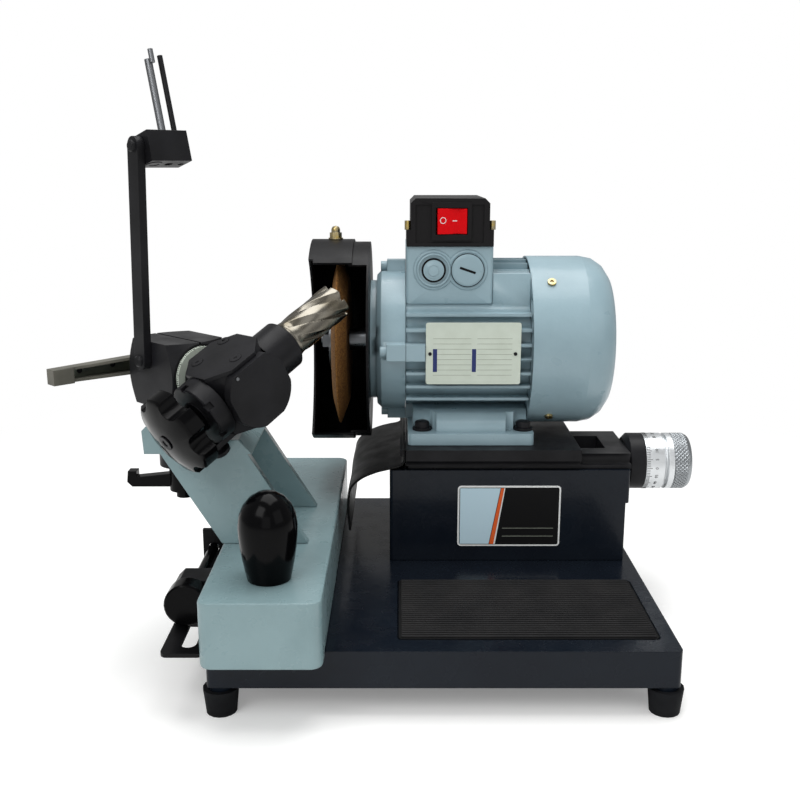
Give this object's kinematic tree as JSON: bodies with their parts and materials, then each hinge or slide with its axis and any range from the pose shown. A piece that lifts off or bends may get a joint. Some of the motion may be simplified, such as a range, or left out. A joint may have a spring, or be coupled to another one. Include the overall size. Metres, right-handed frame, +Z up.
{
  "type": "annular cutter grinder",
  "caption": "Bench grinder for hollow core drills: motor and guarded wheel on a dovetail slide, swing arm with tilting indexed work head, tooth gauge, stop and parts tray.",
  "frame": {"origin": "bottom centre of the bounding box, on the surface that the rubber feet stand on", "axes": "+X to the operator's right along the motor shaft, +Y to the rear, +Z up; the operator stands at -Y"},
  "size_m": [0.5274, 0.3606, 0.4662],
  "materials": {
    "navy_paint": "gloss enamel",
    "casting_paint": "semi-gloss enamel",
    "motor_paint": "semi-gloss enamel",
    "black_oxide": "black oxide",
    "black_sheet": "semi-gloss black",
    "black_plastic": "gloss",
    "switch_plastic": "satin",
    "rubber": "matt",
    "steel": "satin",
    "bronze": "turned",
    "wheel_bond": "resin-bonded abrasive",
    "scale": "satin",
    "red_plastic": "gloss",
    "core": "laminated"
  },
  "bodies": {
    "base": {"base_casting": "navy_paint", "foot_front_left": "rubber", "foot_front_right": "rubber", "foot_rear_left": "rubber", "foot_rear_right": "rubber", "tray_mat": "rubber", "riser": "navy_paint", "dovetail_way": "black_oxide", "feed_hub": "black_oxide", "pivot_pin": "steel", "stop_bracket": "black_sheet"},
    "slide": {"slide_table": "black_oxide", "gib_strip": "steel", "feed_nut": "bronze", "cover_clamp": "black_sheet", "dust_cover": "rubber", "motor_foot": "motor_paint", "motor_frame": "motor_paint", "stator_core": "core", "front_end_shield": "motor_paint", "rear_end_shield": "motor_paint", "fan_cowl": "motor_paint", "terminal_box": "motor_paint", "switch_housing": "switch_plastic", "front_bearing": "steel", "rear_bearing": "steel", "guard_back": "black_sheet", "guard_cover": "black_sheet"},
    "feed": {"feed_screw": "steel", "feed_dial": "steel", "feed_knob": "steel"},
    "rotor": {"rotor_shaft": "steel", "cooling_fan": "switch_plastic", "wheel_spacer": "steel", "grinding_wheel": "wheel_bond", "wheel_flange": "steel", "wheel_nut": "steel"},
    "rocker": {"rocker_button": "red_plastic"},
    "arm": {"swing_arm": "casting_paint", "work_column": "casting_paint", "arm_handle": "black_plastic", "post_washer": "black_oxide"},
    "stop": {"stop_block": "black_oxide"},
    "stop_screw": {"stop_screw": "black_plastic"},
    "head": {"head_block": "black_oxide", "swivel_post": "steel", "graduated_dial": "scale"},
    "small_lever": {"small_clamp_lever": "black_plastic"},
    "big_lever": {"big_clamp_lever": "black_oxide"},
    "gauge_arm": {"gauge_arm": "black_oxide"},
    "gauge_block": {"gauge_block": "black_oxide"},
    "gauge_rod": {"gauge_rod_silver": "steel"},
    "gauge_pin": {"gauge_rod_dark": "core"},
    "tilt": {"spindle_housing": "black_oxide", "cover_plate": "black_oxide"},
    "spindle": {"spindle": "black_oxide", "index_disc": "black_oxide", "star_knob": "black_plastic", "annular_cutter": "steel"},
    "plunger": {"index_plunger": "steel"}
  },
  "joints": [
    {"name": "slide_feed", "type": "slide", "parent": "base", "child": "slide", "axis": [1, 0, 0], "range_m": [-0.006, 0.008], "deforming": ["dust_cover"]},
    {"name": "feed_turn", "type": "hinge", "parent": "base", "child": "feed", "pos_m": [0.04094, 0.05475, 0.1265], "axis": [1, 0, 0], "range_deg": [-1081, 1441]},
    {"name": "wheel_spin", "type": "hinge", "parent": "slide", "child": "rotor", "pos_m": [0.04094, 0.08775, 0.23], "axis": [1, 0, 0], "continuous": true},
    {"name": "switch_rock", "type": "hinge", "parent": "slide", "child": "rocker", "pos_m": [0.05264, 0.04025, 0.3366], "axis": [0, 0, 1], "range_deg": [-14, 0]},
    {"name": "arm_swing", "type": "hinge", "parent": "base", "child": "arm", "pos_m": [-0.08306, 0.13475, 0.052], "axis": [0, 0, 1], "range_deg": [0, 3]},
    {"name": "stop_slide", "type": "slide", "parent": "base", "child": "stop", "axis": [0, 1, 0], "range_m": [0, 0.02]},
    {"name": "stop_turn", "type": "hinge", "parent": "base", "child": "stop_screw", "pos_m": [-0.14536, -0.12025, 0.071], "axis": [0, 1, 0], "range_deg": [-10, 3610]},
    {"name": "head_swivel", "type": "hinge", "parent": "arm", "child": "head", "pos_m": [-0.16666, -0.01405, 0.2225], "axis": [0, 0, 1], "range_deg": [-2, 1]},
    {"name": "swivel_lever", "type": "hinge", "parent": "head", "child": "small_lever", "pos_m": [-0.16666, -0.01405, 0.1325], "axis": [0, 0, 1], "range_deg": [-25, 25]},
    {"name": "tilt_lever", "type": "hinge", "parent": "head", "child": "big_lever", "pos_m": [-0.19636, 0.01565, 0.2225], "axis": [0.7071, -0.7071, 0], "range_deg": [-25, 25]},
    {"name": "gauge_swing", "type": "hinge", "parent": "head", "child": "gauge_arm", "pos_m": [-0.16949, -0.01122, 0.2333], "axis": [0.7071, 0.7071, 0], "range_deg": [-20, 20]},
    {"name": "gauge_tilt", "type": "hinge", "parent": "gauge_arm", "child": "gauge_block", "pos_m": [-0.16388, -0.01683, 0.39541], "axis": [0.7071, 0.7071, 0], "range_deg": [-15, 15]},
    {"name": "gauge_rod_slide", "type": "slide", "parent": "gauge_block", "child": "gauge_rod", "axis": [-0.1842, 0.1842, 0.9655], "range_m": [-0.015, 0.01]},
    {"name": "gauge_pin_slide", "type": "slide", "parent": "gauge_block", "child": "gauge_pin", "axis": [-0.1842, 0.1842, 0.9655], "range_m": [-0.015, 0.01]},
    {"name": "head_tilt", "type": "hinge", "parent": "head", "child": "tilt", "pos_m": [-0.11221, -0.0685, 0.2225], "axis": [0.7071, -0.7071, 0], "range_deg": [-3, 1]},
    {"name": "spindle_index", "type": "hinge", "parent": "tilt", "child": "spindle", "pos_m": [-0.11221, -0.0685, 0.2225], "axis": [0.6243, 0.6243, 0.4695], "continuous": true},
    {"name": "index_pull", "type": "slide", "parent": "tilt", "child": "plunger", "axis": [-0.332, -0.332, 0.8829], "range_m": [-0.0013, 0.0027]}
  ],
  "couplings": [
    {"joint": "feed_turn", "follows": "slide_feed", "rad_per_m": 3141.6},
    {"joint": "stop_turn", "follows": "stop_slide", "rad_per_m": 3141.6}
  ]
}
